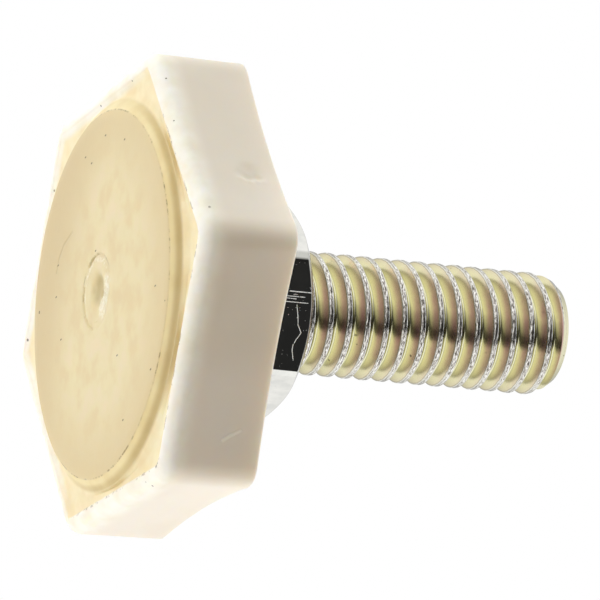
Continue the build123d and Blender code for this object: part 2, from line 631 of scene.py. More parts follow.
gate_groove = [
    (GATE_EDGE, 0.0), (2.05, 0.005), (2.16, 0.04), (2.25, 0.095), (2.31, 0.110), (2.37, 0.085), (2.43, 0.02),
    (2.50, 0.0)]
disc_face = [(radius, 0.0) for radius in (3.0, 3.8, 5.0, 6.5, 8.0, 9.5, 10.7)]
flare = [
    (DISC_REACH - 0.04, 0.0), (DISC_REACH, 0.02), (DISC_REACH + 0.04, 0.045), (11.52, 0.08), (11.62, 0.135),
    (11.72, 0.205), (11.80, 0.275), (11.87, 0.345), (11.93, 0.41), (12.00, 0.475), (12.07, 0.525),
    (12.14, RECESS_LEVEL)]
disc = turn("disc", gate_groove + disc_face + flare, RING_STEPS)
select_only(pad)
disc.select_set(True)
bpy.ops.object.join()
open_piece(pad)
pick("edges", lambda edge: edge.is_boundary and at_level(edge, RECESS_LEVEL))
bpy.ops.mesh.bridge_edge_loops(number_cuts=2, interpolation="LINEAR")
print("disc joined,", RING_STEPS, "steps")

# %% [markdown]
# Near the middle of the disc is the mark of the moulding gate, where the plastic flowed in. The stub was
# torn off below the face, so that the foot doesn't rock on it. A grid fills the hole, fine enough to be
# pushed by hand into a shallow dish with a few humps, which a boolean with a ball could not give.


# %% Dish of the gate
GATE_CEILING = 0.7


def push(centre, move, size):
    """Move the point of the open piece that is nearest to centre, and its surroundings with it."""
    mesh = bmesh.from_edit_mesh(bpy.context.edit_object.data)
    goal = Vector(centre) * MM
    nearest = min((v for v in mesh.verts if not v.hide), key=lambda v: (v.co - goal).length_squared)
    pick("verts", lambda v: v == nearest)
    push_picked(move, size)


def in_gate(v):
    """True for a point of the gate's grid."""
    return v.co.z < GATE_CEILING * MM and v.co.xy.length < (GATE_EDGE - 0.01) * MM


pick("edges", lambda edge: edge.is_boundary and at_level(edge, 0))
bpy.ops.mesh.fill_grid(span=RING_STEPS // 4)
tidy_mesh()
pick("verts", in_gate)
bpy.ops.mesh.hide(unselected=True)
for x, y, rise, size in (
    (-0.25, -0.1, 0.24, 1.4), (0.5, 0.1, 0.12, 0.9), (-0.7, 0.1, 0.12, 0.8), (0.0, -0.65, 0.09, 0.45),
    (0.7, -0.6, 0.07, 0.5), (-0.1, -1.4, 0.04, 0.8), (0.1, 0.75, 0.08, 0.4),
):
    push((x, y, 0.1), (0, 0, rise), size)
bpy.ops.mesh.reveal(select=False)
close_piece()
print("dish", round(max(v.co.z for v in pad.data.vertices if in_gate(v)) / MM, 2), "mm deep")

# %% [markdown]
# Torn plastic is fibrous. A Displace modifier with a cloud texture roughens it, and a vertex group says
# how much: most at the stub, less in the groove, and nothing on the face round it. What it pushes below
# the floor is pressed flat again.

# %% Torn stub
STUB_MIDDLE = Vector((-0.05, -1.35)) * MM
GROOVE_DEPTH = 0.2
GROOVE_EDGE = 2.45
GROOVE_SHARE = 0.8
torn = pad.vertex_groups.new(name="torn")
for v in pad.data.vertices:
    if in_gate(v):
        share = 1 - (v.co.xy - STUB_MIDDLE).length / MM
        if share > 0:
            torn.add([v.index], min(1.0, 2 * share), "REPLACE")
    elif v.co.z < GROOVE_DEPTH * MM and v.co.xy.length < GROOVE_EDGE * MM:
        torn.add([v.index], GROOVE_SHARE, "REPLACE")
roughen(pad, "torn", "torn_fibres", 0.2, 3, 0.14, 0.4, "Z")
open_piece(pad)
below = pick("verts", lambda v: v.co.z < 0)
bpy.ops.transform.resize(value=(1, 1, 0), center_override=(0, 0, 0))
print("torn stub,", below, "points pressed flat")

# %% [markdown]
# The groove round the gate has worn away in two places, and the whole mark sits off the middle of the
# disc. It is easier to model at the axis, so it is moved last, with the wall and the rest of the disc
# hidden.

# %% Broken groove
GATE_SHIFT = 0.6
GATE_REACH = 2.6
GATE_SURROUNDINGS = 6


def in_groove(v):
    """True for a point of the groove round the gate."""
    return 2 * MM < v.co.xy.length < GATE_REACH * MM and v.co.z < GROOVE_DEPTH * MM


for in_gap in (
    lambda v: v.co.y < -0.4 * MM,
    lambda v: v.co.y > 0 and -1.0 * MM < v.co.x < 0.3 * MM,
):
    pick("verts", lambda v: in_groove(v) and in_gap(v))
    bpy.ops.transform.resize(value=(1, 1, 0.2), center_override=(0, 0, 0))
pick("verts", lambda v: v.co.xy.length > GATE_SURROUNDINGS * MM or v.co.z > GATE_CEILING * MM)
bpy.ops.mesh.hide(unselected=False)
pick("verts", lambda v: v.co.xy.length < GATE_REACH * MM)
push_picked((0, GATE_SHIFT, 0), GATE_SURROUNDINGS / 2)
bpy.ops.mesh.reveal(select=False)
close_piece()
lowest = min(v.co.z for v in pad.data.vertices)
print("gate mark, lowest point", round(lowest / MM, 3), "mm")

# %% [markdown]
# The rim came out of the mould a little crooked: on one side it lies a quarter of a millimetre higher.
# Tilting it as a whole would open the crease, so only its points are left visible, and proportional
# editing carries the lift across them and reaches nothing else.

# %% Crooked rim
RIM_LIFT = 0.25
LIFTED_SIDE = -11.6
open_piece(pad)
bpy.ops.mesh.select_all(action="DESELECT")
pad.vertex_groups.active = pad.vertex_groups["rim"]
bpy.ops.object.vertex_group_select()
bpy.ops.mesh.hide(unselected=True)
lifted = pick("verts", lambda v: v.co.y < LIFTED_SIDE * MM)
push_picked((0, 0, RIM_LIFT), 25, "LINEAR")
bpy.ops.mesh.reveal(select=False)
close_piece()
print("rim lifted at", lifted, "points")

# %% [markdown]
# One side of the pad has a small sink mark, where the plastic froze late. A bump in the material would
# vanish at a glancing angle, so it is a real dent with a raised lip. Its surroundings are subdivided
# first, because a dent needs points to move.

# %% Sink mark
SINK_MARK = Vector((-10.30, -8.86, 4.85))
SINK_MARK_SIDE = 3
open_piece(pad)
mark = SINK_MARK * MM
pick("faces", lambda face: (face.calc_center_median() - mark).length < 2.0 * MM)
bpy.ops.mesh.subdivide(number_cuts=2)
inward = -side_way(SINK_MARK_SIDE)
along_side = Vector((0, 0, 1)).cross(side_way(SINK_MARK_SIDE))
dent = [
    (0.1, -0.35, 0.16, 1.1), (-0.6, -0.05, 0.08, 0.6), (-0.1, 0.12, 0.14, 0.5), (0.45, 0.05, 0.12, 0.5)]
lip = [
    (-0.75, 0.42, -0.03, 0.4), (-0.15, 0.56, -0.05, 0.35), (0.35, 0.54, -0.05, 0.35),
    (0.8, 0.42, -0.03, 0.35)]
for up, across_by, depth, size in dent + lip:
    spot = SINK_MARK + along_side * across_by + Vector((0, 0, up))
    push(spot, inward * depth, size)
tidy_mesh()
close_piece()
smooth(pad, 35)
print("pad", len(pad.data.polygons), "faces", [round(x / MM, 2) for x in pad.dimensions])

# %% [markdown]
# ## Bolt
# The thread is rolled, not cut: two dies press the valleys in, and the metal that rises between them
# closes to a crest with a rough seam. So the profile has a round valley and a crest with a shallow
# groove. Rings round a rod would look much the same from afar, but their ends would give them away. A
# Screw modifier winds the profile up the axis as one helix, which is then cut off and closed at both
# ends.

# %% Thread profile
PITCH = 1.25
CREST_RADIUS = 3.9
THREAD_PHASE = 0.535
WINDS = 24
WINDING_STEPS = 192
half_profile = [
    (0.015, 3.848), (0.050, 3.860), (0.085, 3.886), (0.115, 3.897), (0.140, 3.890), (0.160, 3.862),
    (0.180, 3.824), (0.300, 3.600), (0.420, 3.385), (0.490, 3.255), (0.535, 3.180), (0.580, 3.142),
    (0.625, 3.132),
]
crest_level = THREAD_PHASE + 3 * PITCH
lower_flank = [(radius, crest_level - along) for along, radius in reversed(half_profile)]
upper_flank = [(radius, crest_level + along) for along, radius in half_profile]
bolt = draw_profile("threaded_bolt", lower_flank + upper_flank)
close_piece()
winding = bolt.modifiers.new("winding", "SCREW")
winding.axis = "Z"
winding.screw_offset = PITCH * MM
winding.iterations = WINDS
winding.steps = WINDING_STEPS
winding.render_steps = WINDING_STEPS
winding.use_merge_vertices = False
apply_modifiers(bolt)
print("thread wound:", len(bolt.data.vertices), "points")

# %% Ends of the thread
NECK_FOOT = 5.0
BOLT_END = 30.499
open_piece(bolt)
bpy.ops.mesh.select_all(action="SELECT")
bpy.ops.mesh.remove_doubles(threshold=0.004 * MM)
for level, side in ((NECK_FOOT, -1), (BOLT_END + 0.2, 1)):
    bpy.ops.mesh.select_all(action="SELECT")
    bpy.ops.mesh.bisect(
        plane_co=(0, 0, level * MM), plane_no=(0, 0, side), threshold=0.0001 * MM, clear_outer=True)
    pick("edges", lambda edge: edge.is_boundary and at_level(edge, level))
    bpy.ops.mesh.edge_face_add()
bpy.ops.mesh.select_all(action="SELECT")
bpy.ops.mesh.normals_make_consistent(inside=False)
open_edges = pick("edges", lambda edge: edge.is_boundary)
close_piece()
print("thread closed,", open_edges, "open edges")

# %% [markdown]
# A bolt is chamfered before its thread is rolled, so the thread fades out on the chamfer, and the end is
# a plain disc. The disc is joined to the helix first. The overlap with a turned blank then gives
# everything else in one cut: the neck in the pad, the run-out under the nut and the tapered end.

# %% Tip, neck and taper
TURNING_STEPS = 128
TIP_FOOT = 29.95
TIP_RADIUS = 3.46
TIP_TOP = BOLT_END + 0.4
NECK_RADIUS = 3.55
NECK_START = NECK_FOOT + 0.1
THREAD_START = 12.0
tip = turn("tip", [
    (0, TIP_FOOT), (3.0, TIP_FOOT), (3.44, TIP_FOOT + 0.12), (TIP_RADIUS, TIP_FOOT + 0.2),
    (TIP_RADIUS, TIP_TOP), (0, TIP_TOP)], TURNING_STEPS)
combine(bolt, tip, "UNION")
neck = [(0, NECK_START), (NECK_RADIUS, NECK_START), (NECK_RADIUS, PAD_TOP), (CREST_RADIUS, THREAD_START)]
taper = [(CREST_RADIUS, 29.2), (3.6, 30.0), (3.44, 30.19), (3.22, BOLT_END), (0, BOLT_END)]
blank = turn("blank", neck + taper, TURNING_STEPS)
combine(bolt, blank, "INTERSECT")
print("bolt cut", [round(x / MM, 2) for x in bolt.dimensions])

# %% [markdown]
# The seam on the crests is uneven, as rolled metal is. The blank has made the crests all alike, so noise
# lowers them again by up to a twentieth of a millimetre, and never raises them.

# %% Rolled seam
SEAM_RADIUS = 3.865
crest_points = [v.index for v in bolt.data.vertices if v.co.xy.length > SEAM_RADIUS * MM]
bolt.vertex_groups.new(name="crest").add(crest_points, 1.0, "REPLACE")
roughen(bolt, "crest", "rolled_seam", 0.6, 1, 0.05, 1.0)
smooth(bolt, 32)
print("bolt", len(bolt.data.polygons), "faces")

# %% [markdown]
# ## Lock nut
# A hexagon bar with its corners turned off at both faces. Bevels can't give the arcs in which the turned
# cone meets the flats, so it is made as the factory makes it: what a hexagon and a turned blank share is
# the nut, and a countersunk bore is taken out of it.

# %% Nut
NUT_ACROSS = 12.8
NUT_BOTTOM = PAD_TOP
NUT_TOP = 11.8
NUT_TURN = -11.8
NUT_FACE_MARGIN = 0.55
NUT_CHAMFER = 30
NUT_CORNER_ROUNDING = 0.32
NUT_STEPS = 180
nut_corner = NUT_ACROSS / 2 / math.cos(math.radians(FLAT_TO_CORNER))
nut_face = NUT_ACROSS / 2 - NUT_FACE_MARGIN
nut_drop = (nut_corner - nut_face) * math.tan(math.radians(NUT_CHAMFER))
select_nothing()
bpy.ops.mesh.primitive_cylinder_add(
    vertices=HEX_SIDES, radius=nut_corner * MM, depth=(NUT_TOP - NUT_BOTTOM) * MM,
    location=(0, 0, (NUT_TOP + NUT_BOTTOM) / 2 * MM),
    rotation=(0, 0, math.radians(NUT_TURN + FLAT_TO_CORNER)))
nut = bpy.context.object
nut.name = "lock_nut_plated"
place_in_mesh(nut)
open_piece(nut)
pick("edges", lambda edge: rises(edge, (NUT_TOP - NUT_BOTTOM) / 2))
bpy.ops.mesh.bevel(offset=NUT_CORNER_ROUNDING * MM, segments=4, affect="EDGES")
close_piece()
nut_blank = turn("nut_blank", [
    (0, NUT_BOTTOM), (nut_face, NUT_BOTTOM), (nut_corner + 0.01, NUT_BOTTOM + nut_drop),
    (nut_corner + 0.01, NUT_TOP - nut_drop), (nut_face, NUT_TOP), (0, NUT_TOP)], NUT_STEPS)
combine(nut, nut_blank, "INTERSECT")
print("nut blank", [round(x / MM, 2) for x in nut.dimensions])

# %% Bore and edges
BORE = 3.95
BORE_STEPS = 96
COUNTERSINK = 0.3
TOOL_PAST = 0.5
EDGE_ROUNDING = 0.06
funnel = BORE + COUNTERSINK + TOOL_PAST
bore = turn("bore", [
    (0, NUT_BOTTOM - TOOL_PAST), (funnel, NUT_BOTTOM - TOOL_PAST), (BORE, NUT_BOTTOM + COUNTERSINK),
    (BORE, NUT_TOP - COUNTERSINK), (funnel, NUT_TOP + TOOL_PAST), (0, NUT_TOP + TOOL_PAST)], BORE_STEPS)
combine(nut, bore, "DIFFERENCE")
edges = nut.modifiers.new("edges", "BEVEL")
edges.width = EDGE_ROUNDING * MM
edges.segments = 2
edges.limit_method = "ANGLE"
edges.angle_limit = math.radians(25)
apply_modifiers(nut)
smooth(nut, 20)
flat_faces = nut.modifiers.new("flat_faces", "WEIGHTED_NORMAL")
flat_faces.weight = 100
flat_faces.keep_sharp = True
apply_modifiers(nut)
print("nut", len(nut.data.polygons), "faces", [round(x / MM, 2) for x in nut.dimensions])

# %% [markdown]
# ## Shared effects
# Plastic and zinc age in the same few ways, so these are node groups that each finish can use: where a
# point lies round the axis, small specks, and a stroke such as a scratch from one point to another. A
# group gives only masks and values. Each material decides what they do to its colour and its gloss.


# %% Helpers for node groups
def new_group(name, inputs, outputs):
    """An empty node group: its tree, what comes in and what goes out."""
    group = bpy.data.node_groups.new(name, "ShaderNodeTree")
    for label, kind in inputs:
        group.interface.new_socket(label, in_out="INPUT", socket_type="NodeSocket" + kind)
    for label, kind in outputs:
        group.interface.new_socket(label, in_out="OUTPUT", socket_type="NodeSocket" + kind)
    start = group.nodes.new("NodeGroupInput")
    end = group.nodes.new("NodeGroupOutput")
    return group, start.outputs, end.inputs


def use_group(tree, group, **values):
    """Put a group into a finish and give its outputs."""
    node = tree.nodes.new("ShaderNodeGroup")
    node.node_tree = group
    for label, value in values.items():
        feed(tree, node.inputs[label], value)
    return node.outputs


def vector_sum(tree, operation, first, second=None, scale=None):
    """One calculation on vectors; lengths and dot products come out as a value."""
    node = tree.nodes.new("ShaderNodeVectorMath")
    node.operation = operation
    feed(tree, node.inputs[0], first)
    if second is not None:
        feed(tree, node.inputs[1], second)
    if scale is not None:
        feed(tree, node.inputs["Scale"], scale)
    return node.outputs["Value" if operation in ("DOT_PRODUCT", "LENGTH") else "Vector"]


# %% Place round the axis
around, given, result = new_group(
    "place_round_axis", [("Place", "Vector")],
    [("Radius", "Float"), ("Angle", "Float"), ("Height", "Float"), ("Flats", "Float")])
parts = around.nodes.new("ShaderNodeSeparateXYZ")
around.links.new(given["Place"], parts.inputs[0])
plan = vector_sum(around, "MULTIPLY", given["Place"], (1, 1, 0))
around.links.new(vector_sum(around, "LENGTH", plan), result["Radius"])
around.links.new(calculate(around, "ARCTAN2", parts.outputs["Y"], parts.outputs["X"]), result["Angle"])
around.links.new(parts.outputs["Z"], result["Height"])
reaches = [
    calculate(around, "ABSOLUTE", vector_sum(around, "DOT_PRODUCT", plan, tuple(side_way(side))))
    for side in range(3)
]
flats = calculate(around, "MAXIMUM", calculate(around, "MAXIMUM", reaches[0], reaches[1]), reaches[2])
around.links.new(flats, result["Flats"])
print("group", around.name, len(around.nodes), "nodes")

# %% Specks
specks, given, result = new_group(
    "specks", [("Place", "Vector"), ("Scale", "Float"), ("Share", "Float"), ("Size", "Float")],
    [("Mask", "Float")])
cells = specks.nodes.new("ShaderNodeTexVoronoi")
specks.links.new(given["Place"], cells.inputs["Vector"])
specks.links.new(given["Scale"], cells.inputs["Scale"])
chances = specks.nodes.new("ShaderNodeSeparateColor")
specks.links.new(cells.outputs["Color"], chances.inputs[0])
chosen = calculate(specks, "LESS_THAN", chances.outputs[0], given["Share"])
reach = times(specks, given["Size"], chances.outputs[1])
inside = calculate(specks, "LESS_THAN", cells.outputs["Distance"], reach)
specks.links.new(times(specks, chosen, inside), result["Mask"])
print("group", specks.name, len(specks.nodes), "nodes")

# %% Stroke
stroke, given, result = new_group(
    "stroke", [("Place", "Vector"), ("From", "Vector"), ("To", "Vector"), ("Width", "Float")],
    [("Mask", "Float")])
span = vector_sum(stroke, "SUBTRACT", given["To"], given["From"])
away = vector_sum(stroke, "SUBTRACT", given["Place"], given["From"])
share = calculate(
    stroke, "DIVIDE", vector_sum(stroke, "DOT_PRODUCT", away, span),
    vector_sum(stroke, "DOT_PRODUCT", span, span), clamp=True)
off = vector_sum(stroke, "SUBTRACT", away, vector_sum(stroke, "SCALE", span, scale=share))
apart = calculate(stroke, "DIVIDE", vector_sum(stroke, "LENGTH", off), given["Width"])
stroke.links.new(fade(stroke, apart, 1.0, 0.4), result["Mask"])
print("group", stroke.name, len(stroke.nodes), "nodes")


def strokes(tree, place, points, width):
    """One mask for a chain of strokes through points."""
    mask = None
    for start, end in zip(points, points[1:]):
        next_mask = use_group(tree, stroke, Place=place, From=start, To=end, Width=width)["Mask"]
        mask = next_mask if mask is None else calculate(tree, "MAXIMUM", mask, next_mask)
    return mask


def any_of(tree, masks):
    """The strongest of several masks."""
    strongest = masks[0]
    for mask in masks[1:]:
        strongest = calculate(tree, "MAXIMUM", strongest, mask)
    return strongest


# %% [markdown]
# ## Finish of the pad
# The plastic was ivory. The side that stood on the floor has yellowed, its rim is rubbed nearly white,
# and dirt sits in the creases. A painted picture could show that, but masks by place stay sharp at any
# distance. So the finish is divided by height, by radius and by how far out a point lies towards the
# flats. The same masks paint shade at the foot of the disc's edge on the near side, and a painted glow of
# backlight in the recess on the far side.

# %% Pad plastic
pad_finish, tree, shader, place = new_finish("aged_plastic")
where = use_group(tree, around, Place=place)
patchy = noise(tree, place, 0.10, detail=2)
cloudy = noise(tree, place, 0.45, detail=3)
fine = noise(tree, place, 2.5, detail=4, roughness=0.6)
low = fade(tree, where["Height"], 1.7, 1.1)
inner = times(tree, low, fade(tree, where["Flats"], 12.58, 12.40))
rim = times(tree, fade(tree, where["Height"], 2.6, 1.1), fade(tree, where["Flats"], 12.40, 12.58))
wall_tone = ramp(tree, patchy, [(0.38, tone("EAE2D2")), (0.62, tone("F3ECDF"))])
rim_tone = ramp(tree, cloudy, [(0.35, tone("F6F0E0")), (0.6, tone("FFFCF2"))])
disc_tone = ramp(tree, cloudy, [(0.38, tone("DECDA2")), (0.52, tone("E2D6AC")), (0.64, tone("E4D6B2"))])
disc_tone = blend(tree, fade(tree, where["Radius"], 6.0, 11.5), disc_tone, tone("D9C89D"))
axes = tree.nodes.new("ShaderNodeSeparateXYZ")
tree.links.new(place, axes.inputs[0])
disc_tone = blend(tree, fade(tree, axes.outputs["Y"], 2.0, 10.0), disc_tone, tone("D2C096"))
slope_tone = ramp(tree, cloudy, [(0.35, tone("E4D3A2")), (0.65, tone("ECDFB2"))])
# The foot of the disc's flared edge is painted darker: painted shade in the concave corner where the flare
# meets the recess.
foot_shade_tone = ramp(tree, cloudy, [(0.35, tone("CDB884")), (0.65, tone("D6C492"))])
recess_tone = ramp(tree, cloudy, [(0.35, tone("F0E0B4")), (0.65, tone("FAEFCC"))])
inner_tone = blend(tree, fade(tree, where["Radius"], 11.36, 11.52), disc_tone, slope_tone)
near = fade(tree, axes.outputs["Y"], 2.0, -5.0)
# foot: where the painted shade at the disc's foot goes, on the near side only.
foot = times(tree, fade(tree, where["Radius"], 11.65, 11.95), near)
inner_tone = blend(tree, foot, inner_tone, foot_shade_tone)
inner_tone = blend(tree, fade(tree, where["Radius"], 12.02, 12.30), inner_tone, recess_tone)
# Towards the far side the recess is painted lighter, out to the rim's near-white: a painted glow of
# backlight shining through the plastic.
far = fade(tree, axes.outputs["Y"], -1.0, 4.0)
far_rim_glow = times(tree, far, fade(tree, where["Flats"], 11.80, 12.36))
inner_tone = blend(tree, far_rim_glow, inner_tone, rim_tone)
colour = blend(tree, rim, wall_tone, rim_tone)
colour = blend(tree, inner, colour, inner_tone)
print("pad zones", len(tree.nodes), "nodes")

# %% [markdown]
# Dirt settles where a cloth doesn't reach: along the disc's edge, in the crease of the rim and in small
# pits. Noise breaks the lines up. The larger specks are placed one by one, because an even scatter looks
# like print.

# %% Dirt in the creases
ring = off_from(tree, where["Radius"], 11.42)
ring = fade(tree, ring, 0.07, 0.01)
crease = off_from(tree, where["Flats"], 12.56)
crease = fade(tree, crease, 0.15, 0.03)
crease = times(tree, crease, near)
patches = noise(tree, place, 0.16, detail=5, roughness=0.7)
crumbly = noise(tree, place, 1.1, detail=5, roughness=0.75)
ring_dirt = times(tree, ring, fade(tree, patches, 0.40, 0.54))
ring_dirt = times(tree, ring_dirt, fade(tree, crumbly, 0.44, 0.60))
crease_dirt = times(tree, crease, fade(tree, crumbly, 0.52, 0.60))
dirt = calculate(tree, "MAXIMUM", ring_dirt, times(tree, crease_dirt, 0.9))
dirt = times(tree, times(tree, dirt, low), 0.75)
colour = blend(tree, dirt, colour, tone("7A6742"))
DISC_SPECKS = (
    (-7.18, 6.39), (-7.09, 5.17), (-9.25, 3.61), (-9.78, 0.29), (1.87, -10.5), (-2.3, 1.9), (0.2, 7.9),
    (2.1, 7.3), (-2.9, -8.9), (2.6, -4.7), (4.3, 5.2), (5.9, -7.5))
spots = any_of(tree, [
    strokes(tree, place, [(x, y, 0), (x + 0.08, y + 0.12, 0)], 0.07) for x, y in DISC_SPECKS])
rim_specks = use_group(tree, specks, Place=place, Scale=1.6, Share=0.30, Size=0.17)["Mask"]
rim_specks = times(tree, rim_specks, fade(tree, where["Height"], 1.9, 0.9))
rim_specks = times(tree, rim_specks, fade(tree, where["Flats"], 12.1, 12.4))
few_specks = use_group(tree, specks, Place=place, Scale=0.8, Share=0.05, Size=0.12)["Mask"]
few_specks = times(tree, few_specks, inner)
spots = any_of(tree, [spots, rim_specks, few_specks])
colour = blend(tree, times(tree, spots, 0.8), colour, tone("5A4A30"))
print("pad dirt", len(tree.nodes), "nodes")

# %% [markdown]
# The gate's dish is painted darker, as painted shade in its hollow, and its torn parts lighter, as
# stress-whitened plastic. On one side the groove round it gets a dark line of painted shade on its outer
# wall and, inside that, a pale band that is partly stress-whitened and partly a painted highlight. The
# group that gives the place round the axis is used once more, here from the mark's own middle, so the
# tints follow the mark when it is moved.

# %% Gate tints
gate_place = shift(tree, place, move=(0, -GATE_SHIFT, 0))
gate = use_group(tree, around, Place=gate_place)
# Painted shade in the gate's dish.
dish_shade = times(tree, fade(tree, gate["Height"], 0.04, 0.24), fade(tree, gate["Radius"], 1.9, 1.7))
colour = blend(tree, times(tree, dish_shade, 0.5), colour, tone("B09E6C"))
stub = strokes(tree, gate_place, [(-1.0, -1.40, 0.05), (0.75, -1.45, 0.05)], 0.75)
bits = fade(tree, noise(tree, place, 3.2, detail=5, roughness=0.7), 0.40, 0.62)
torn_and_lit_bits = times(tree, stub, calculate(tree, "MULTIPLY_ADD", bits, 0.75, 0.25))
sector = calculate(tree, "COSINE", calculate(tree, "SUBTRACT", gate["Angle"], math.radians(120)))
sector = times(tree, fade(tree, sector, -0.3, 0.3), low)
sector = times(tree, sector, fade(tree, noise(tree, place, 1.6), 0.42, 0.58))
# A dark line on the groove's outer wall, in one sector only: painted shade.
groove_shade_line = fade(tree, off_from(tree, gate["Radius"], 2.38), 0.11, 0.02)
colour = blend(tree, times(tree, times(tree, groove_shade_line, sector), 0.5), colour, tone("9A8A5C"))
# A pale band inside the groove: partly stress-whitened plastic, partly a painted highlight on its lit inner
# wall.
lit_whitened_band = fade(tree, off_from(tree, gate["Radius"], 2.02), 0.30, 0.06)
lit_whitened_band = times(tree, lit_whitened_band, times(tree, sector, 0.7))
lit_whitened_band = times(tree, lit_whitened_band, calculate(tree, "MULTIPLY_ADD", bits, 0.8, 0.2))
# The torn bits and the pale band share one colour: whitened plastic with a painted highlight.
torn_and_lit_bits = calculate(tree, "MAXIMUM", torn_and_lit_bits, lit_whitened_band)
colour = blend(tree, torn_and_lit_bits, colour, tone("FDF7E2"))
print("gate tints", len(tree.nodes), "nodes")

# %% [markdown]
# Last come one scratch on the wall and one on the disc, and the grain. Old plastic is dull, dullest on
# the worn underside, and light goes a little way into it. The grain is only bump, because it is too fine
# to model.

# %% Scratches, gloss and grain
scratch = strokes(tree, place, [(5.15, -13.35, 4.22), (4.82, -13.35, 4.70), (4.50, -13.35, 5.27)], 0.17)
colour = blend(tree, scratch, colour, tone("FFF8EA"))
scored = strokes(tree, place, [(-2.3, 6.5, 0), (-1.15, 7.6, 0), (-0.15, 8.0, 0), (0.7, 8.0, 0)], 0.14)
colour = blend(tree, times(tree, scored, 0.2), colour, tone("A08E60"))
feed(tree, shader.inputs["Base Color"], colour)
gloss = calculate(tree, "MULTIPLY_ADD", fine, 0.16, 0.34)
gloss = calculate(tree, "MULTIPLY_ADD", inner, 0.10, gloss)
feed(tree, shader.inputs["Roughness"], calculate(tree, "MULTIPLY_ADD", rim, 0.12, gloss))
grain = times(tree, calculate(tree, "ADD", inner, rim, clamp=True), fine)
ripple = times(tree, rim, noise(tree, place, 1.0, detail=3))
height = times(tree, cloudy, 0.4)
for relief, rise in (
    (grain, 0.35), (torn_and_lit_bits, 0.8), (ripple, 0.8), (scratch, 0.8), (scored, -0.8), (spots, -0.8),
):
    height = calculate(tree, "MULTIPLY_ADD", relief, rise, height)
bump(tree, shader, height, 0.05)
shader.inputs["Subsurface Weight"].default_value = 0.6
shader.inputs["Subsurface Radius"].default_value = (1.0, 0.8, 0.55)
shader.inputs["Subsurface Scale"].default_value = 1.2 * MM
pad.data.materials.append(pad_finish)
print("pad finish", len(tree.nodes), "nodes")

# %% [markdown]
# ## Finish of the bolt
# Yellow passivated zinc changes its tint with the thickness of its film: yellow in the valleys, pink
# towards the crests, and bare silver where the rolling dies and the nut have rubbed. The same ramp paints
# thin highlights beside each crest and dark lines of shade at its edges and on the far flank. How far a
# point lies along the pitch comes from its height and its angle, so the tints follow the helix. A picture
# wrapped round the bolt would need a seam.

# %% Yellow zinc
TOWARDS_CAMERA = math.radians(257 - 360)
bolt_finish, tree, shader, place = new_finish("yellow_passivated_zinc")
where = use_group(tree, around, Place=place)
cloudy = noise(tree, place, 0.9, detail=4)
fine = noise(tree, place, 5.0, detail=4, roughness=0.65)
turned = times(tree, where["Angle"], -1 / math.tau)
climbed = calculate(tree, "MULTIPLY_ADD", where["Height"], 1 / PITCH, turned)
along = calculate(tree, "FRACT", calculate(tree, "ADD", climbed, 0.5 - THREAD_PHASE / PITCH))
wander = calculate(tree, "MULTIPLY_ADD", fine, 0.05, -0.025)
along = calculate(tree, "ADD", along, wander)
# Besides the film's tints, this ramp paints a thin highlight on each side of the crest, dark shade lines
# just before and after it, and a darker far flank: painted highlights and painted shade.
film_tint_and_painted_lines = ramp(tree, along, [
    (0.00, tone("F1EECB")), (0.06, tone("F3F0C6")), (0.14, tone("F2EDC0")), (0.25, tone("F0E9BE")),
    (0.33, tone("EBE2C0")), (0.360, tone("8A8072")), (0.376, tone("FFFFFC")), (0.394, tone("5E5850")),
    (0.596, tone("5E5850")), (0.606, tone("FFFFFC")), (0.630, tone("FFFFFC")), (0.645, tone("4A453B")),
    (0.700, tone("B4B096")), (0.80, tone("E2DFC2")), (0.92, tone("F1EECB"))])
pink = calculate(tree, "SUBTRACT", where["Angle"], TOWARDS_CAMERA)
pink = calculate(tree, "COSINE", times(tree, pink, 2.0))
clouded = calculate(tree, "MULTIPLY_ADD", cloudy, 0.8, -0.02)
pink = calculate(tree, "MULTIPLY_ADD", pink, 0.5, clouded, clamp=True)
flank = times(tree, fade(tree, along, 0.08, 0.26), fade(tree, along, 0.355, 0.325))
colour = blend(tree, times(tree, pink, flank), film_tint_and_painted_lines, tone("C69D9E"))
print("bolt tints", len(tree.nodes), "nodes")

# %% [markdown]
# The crests are rubbed bare and crumbly. Unrolling the surface into a plane, with the angle as one side
# and the height as the other, draws the crumbs out along the thread. On the side that faces the camera
# the crests are painted dark, a painted reflection of the dark gap over the grit; round the sides they
# are paler, pale wear in a painted reflection of the bright tent, with painted highlights along their edges.

# %% Rubbed crests
crest = times(tree, fade(tree, along, 0.388, 0.402), fade(tree, along, 0.600, 0.588))
unrolled = tree.nodes.new("ShaderNodeCombineXYZ")
feed(tree, unrolled.inputs["X"], times(tree, where["Angle"], 0.45 * CREST_RADIUS))
feed(tree, unrolled.inputs["Y"], times(tree, where["Height"], 1.7))
crumbs = noise(tree, unrolled.outputs[0], 6.5, detail=4, roughness=0.7)
crest_grit_and_gap_reflection = ramp(tree, crumbs, [(0.38, tone("3A352E")), (0.48, tone("B4AEA4")), (0.57, tone("FDFBF6"))])
# Dark where the crest faces the camera, paler round the sides: a painted reflection of the dark gap and the
# bright tent over the grit.
turned_to_us = calculate(tree, "COSINE", calculate(tree, "SUBTRACT", where["Angle"], TOWARDS_CAMERA))
turned_away = fade(tree, turned_to_us, 0.85, 0.45)
crest_wear_and_tent_reflection = ramp(tree, crumbs, [(0.38, tone("A8A294")), (0.48, tone("EDEADF")), (0.57, tone("FFFFFB"))])
colour = blend(tree, crest, colour, blend(tree, turned_away, crest_grit_and_gap_reflection, crest_wear_and_tent_reflection))
